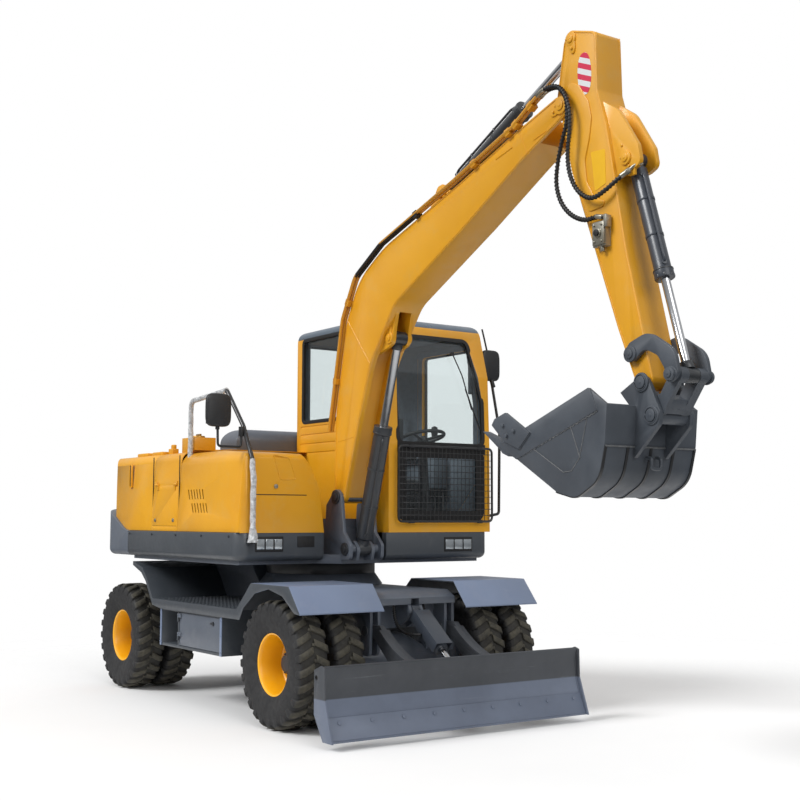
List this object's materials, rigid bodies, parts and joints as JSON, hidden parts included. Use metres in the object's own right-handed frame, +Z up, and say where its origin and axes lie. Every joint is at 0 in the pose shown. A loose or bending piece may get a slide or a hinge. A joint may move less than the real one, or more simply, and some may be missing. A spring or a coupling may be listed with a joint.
{
  "type": "wheeled excavator",
  "caption": "Compact wheeled excavator with twin tyres, slewing house and cab, boom, arm, bucket and a front dozer blade, all jointed.",
  "frame": {"origin": "on the ground under the middle of the machine's standing box", "axes": "+X forward towards the blade and bucket, +Y to the cab side, +Z up"},
  "size_m": [5.9642, 2.518, 4.2665],
  "materials": {
    "body_paint": "gloss yellow-orange",
    "grey_paint": "satin dark grey",
    "black_paint": "satin black",
    "rim_paint": "gloss yellow",
    "tyre": "rubber",
    "chrome": "polished",
    "cylinder_paint": "satin blue-black",
    "bucket_paint": "worn dark grey",
    "glass": "clear",
    "plastic": "moulded",
    "seat_cloth": "woven",
    "hose_rubber": "black hose",
    "cast": "painted casting"
  },
  "bodies": {
    "undercarriage": {"chassis_frame": "grey_paint", "side_step_left": "grey_paint", "side_step_right": "grey_paint", "front_axle": "grey_paint", "rear_axle": "grey_paint", "drive_line": "grey_paint", "slew_ring": "black_paint"},
    "tool_box_door_left": {"tool_box_door_left": "grey_paint"},
    "tool_box_door_right": {"tool_box_door_right": "grey_paint"},
    "knuckle_left": {"knuckle_left": "grey_paint"},
    "knuckle_right": {"knuckle_right": "grey_paint"},
    "wheel_front_left": {"rim_front_left": "rim_paint", "tyres_front_left": "tyre"},
    "wheel_front_right": {"rim_front_right": "rim_paint", "tyres_front_right": "tyre"},
    "wheel_rear_left": {"rim_rear_left": "rim_paint", "tyres_rear_left": "tyre"},
    "wheel_rear_right": {"rim_rear_right": "rim_paint", "tyres_rear_right": "tyre"},
    "blade": {"blade": "grey_paint"},
    "blade_cylinder_barrel": {"blade_cylinder_barrel": "cylinder_paint", "blade_hose_left": "hose_rubber", "blade_hose_right": "hose_rubber"},
    "blade_cylinder_rod": {"blade_cylinder_rod": "chrome"},
    "house": {"platform": "grey_paint", "counterweight": "grey_paint", "skirt_left": "grey_paint", "skirt_right": "grey_paint", "body_cover": "body_paint", "tank_box": "body_paint", "engine_dome": "grey_paint", "engine_block": "cast", "cab_shell": "body_paint", "cab_roof": "grey_paint", "cab_glass": "glass", "seat": "seat_cloth", "console": "plastic", "handrail": "grey_paint", "right_mirror": "plastic", "left_mirror": "plastic", "windscreen_guard": "black_paint"},
    "engine_hood": {"engine_hood": "body_paint"},
    "side_cover": {"side_cover": "body_paint"},
    "cab_door": {"cab_door": "body_paint", "door_glass": "glass"},
    "boom": {"boom": "body_paint", "boom_pipes": "black_paint"},
    "boom_cylinder_barrel": {"boom_cylinder_barrel": "cylinder_paint"},
    "boom_cylinder_rod": {"boom_cylinder_rod": "chrome"},
    "arm_cylinder_barrel": {"arm_cylinder_barrel": "cylinder_paint"},
    "arm_cylinder_rod": {"arm_cylinder_rod": "chrome"},
    "arm": {"arm": "body_paint", "bucket_cylinder_hose": "hose_rubber", "arm_valve_hose": "hose_rubber"},
    "bucket_cylinder_barrel": {"bucket_cylinder_barrel": "cylinder_paint"},
    "bucket_cylinder_rod": {"bucket_cylinder_rod": "chrome"},
    "guide_links": {"guide_links": "grey_paint"},
    "bucket": {"bucket": "bucket_paint"},
    "h_link": {"h_link": "grey_paint"}
  },
  "joints": [
    {"name": "slew", "type": "hinge", "parent": "undercarriage", "child": "house", "pos_m": [-0.975, 0, 1.075], "axis": [0, 0, 1], "continuous": true},
    {"name": "boom_lift", "type": "hinge", "parent": "house", "child": "boom", "pos_m": [-0.357, -0.1, 1.557], "axis": [0, -1, 0], "range_deg": [-80, 25]},
    {"name": "arm_swing", "type": "hinge", "parent": "boom", "child": "arm", "pos_m": [2.08, -0.1, 3.831], "axis": [0, 1, 0], "range_deg": [-80, 30], "deforming": ["bucket_cylinder_hose", "arm_valve_hose"]},
    {"name": "bucket_tilt", "type": "hinge", "parent": "arm", "child": "bucket", "pos_m": [2.707, -0.1, 2.133], "axis": [0, -1, 0], "range_deg": [-40, 125]},
    {"name": "boom_barrel_tilt", "type": "hinge", "parent": "house", "child": "boom_cylinder_barrel", "pos_m": [-0.23, -0.1, 1.183], "axis": [0, -1, 0], "range_deg": [-71.4, 23]},
    {"name": "boom_rod_slide", "type": "slide", "parent": "boom_cylinder_barrel", "child": "boom_cylinder_rod", "axis": [0.2936, 0, 0.9559], "range_m": [-0.445, 0.1425]},
    {"name": "arm_barrel_tilt", "type": "hinge", "parent": "boom", "child": "arm_cylinder_barrel", "pos_m": [0.842, -0.1, 3.584], "axis": [0, -1, 0], "range_deg": [-2.5, 5]},
    {"name": "arm_rod_slide", "type": "slide", "parent": "arm_cylinder_barrel", "child": "arm_cylinder_rod", "axis": [0.9001, 0, 0.4356], "range_m": [-0.501, 0.191]},
    {"name": "bucket_barrel_tilt", "type": "hinge", "parent": "arm", "child": "bucket_cylinder_barrel", "pos_m": [2.562, -0.1, 3.407], "axis": [0, -1, 0], "range_deg": [-2.2, 4.75]},
    {"name": "bucket_rod_slide", "type": "slide", "parent": "bucket_cylinder_barrel", "child": "bucket_cylinder_rod", "axis": [0.2784, 0, -0.9605], "range_m": [-0.38, 0.125]},
    {"name": "guide_link_swing", "type": "hinge", "parent": "arm", "child": "guide_links", "pos_m": [2.627, -0.1, 2.294], "axis": [0, -1, 0], "range_deg": [-23.4, 71]},
    {"name": "h_link_swing", "type": "hinge", "parent": "bucket", "child": "h_link", "pos_m": [2.778, -0.1, 1.952], "axis": [0, -1, 0], "range_deg": [-86, 28.2]},
    {"name": "blade_lift", "type": "hinge", "parent": "undercarriage", "child": "blade", "pos_m": [0.215, 0, 0.64], "axis": [0, -1, 0], "range_deg": [-18, 25]},
    {"name": "blade_barrel_tilt", "type": "hinge", "parent": "undercarriage", "child": "blade_cylinder_barrel", "pos_m": [0.275, 0, 0.77], "axis": [0, -1, 0], "range_deg": [-18.46, 25.25], "deforming": ["blade_hose_left", "blade_hose_right"]},
    {"name": "blade_rod_slide", "type": "slide", "parent": "blade_cylinder_barrel", "child": "blade_cylinder_rod", "axis": [0.7933, 0, -0.6088], "range_m": [-0.065, 0.0482]},
    {"name": "steer_left", "type": "hinge", "parent": "undercarriage", "child": "knuckle_left", "pos_m": [0, 0.53, 0.43], "axis": [0, 0, 1], "range_deg": [-22, 22]},
    {"name": "steer_right", "type": "hinge", "parent": "undercarriage", "child": "knuckle_right", "pos_m": [0, -0.53, 0.43], "axis": [0, 0, 1], "range_deg": [-22.5, 22.5]},
    {"name": "spin_front_left", "type": "hinge", "parent": "knuckle_left", "child": "wheel_front_left", "pos_m": [0, 0.735, 0.43], "axis": [0, 1, 0], "continuous": true},
    {"name": "spin_rear_left", "type": "hinge", "parent": "undercarriage", "child": "wheel_rear_left", "pos_m": [-2.57, 0.735, 0.43], "axis": [0, 1, 0], "continuous": true},
    {"name": "spin_front_right", "type": "hinge", "parent": "knuckle_right", "child": "wheel_front_right", "pos_m": [0, -0.735, 0.43], "axis": [0, 1, 0], "continuous": true},
    {"name": "spin_rear_right", "type": "hinge", "parent": "undercarriage", "child": "wheel_rear_right", "pos_m": [-2.57, -0.735, 0.43], "axis": [0, 1, 0], "continuous": true},
    {"name": "cab_door_swing", "type": "hinge", "parent": "house", "child": "cab_door", "pos_m": [-1.09, 1.062, 2], "axis": [0, 0, 1], "range_deg": [0, 110]},
    {"name": "engine_hood_lift", "type": "hinge", "parent": "house", "child": "engine_hood", "pos_m": [-1.862, 0, 1.951], "axis": [0, 1, 0], "range_deg": [0, 50]},
    {"name": "side_cover_lift", "type": "hinge", "parent": "house", "child": "side_cover", "pos_m": [-1.615, -1.024, 1.66], "axis": [-1, 0, 0], "range_deg": [0, 80]},
    {"name": "tool_box_door_left", "type": "hinge", "parent": "undercarriage", "child": "tool_box_door_left", "pos_m": [-1.425, 0.988, 0.56], "axis": [0, 0, 1], "range_deg": [0, 100]},
    {"name": "tool_box_door_right", "type": "hinge", "parent": "undercarriage", "child": "tool_box_door_right", "pos_m": [-1.425, -0.988, 0.56], "axis": [0, 0, -1], "range_deg": [0, 100]}
  ],
  "couplings": [
    {"joint": "boom_barrel_tilt", "follows": "boom_lift", "ratio": 0.88},
    {"joint": "boom_rod_slide", "follows": "boom_lift", "m_per_rad": 0.31513},
    {"joint": "arm_barrel_tilt", "follows": "arm_swing", "ratio": -0.05},
    {"joint": "arm_rod_slide", "follows": "arm_swing", "m_per_rad": 0.35523},
    {"joint": "bucket_barrel_tilt", "follows": "bucket_tilt", "ratio": 0.03},
    {"joint": "bucket_rod_slide", "follows": "bucket_tilt", "m_per_rad": -0.17189},
    {"joint": "guide_link_swing", "follows": "bucket_tilt", "ratio": 0.56},
    {"joint": "h_link_swing", "follows": "bucket_tilt", "ratio": -0.68},
    {"joint": "blade_barrel_tilt", "follows": "blade_lift", "ratio": 0.97},
    {"joint": "blade_rod_slide", "follows": "blade_lift", "m_per_rad": -0.13751},
    {"joint": "steer_right", "follows": "steer_left", "ratio": 1}
  ]
}
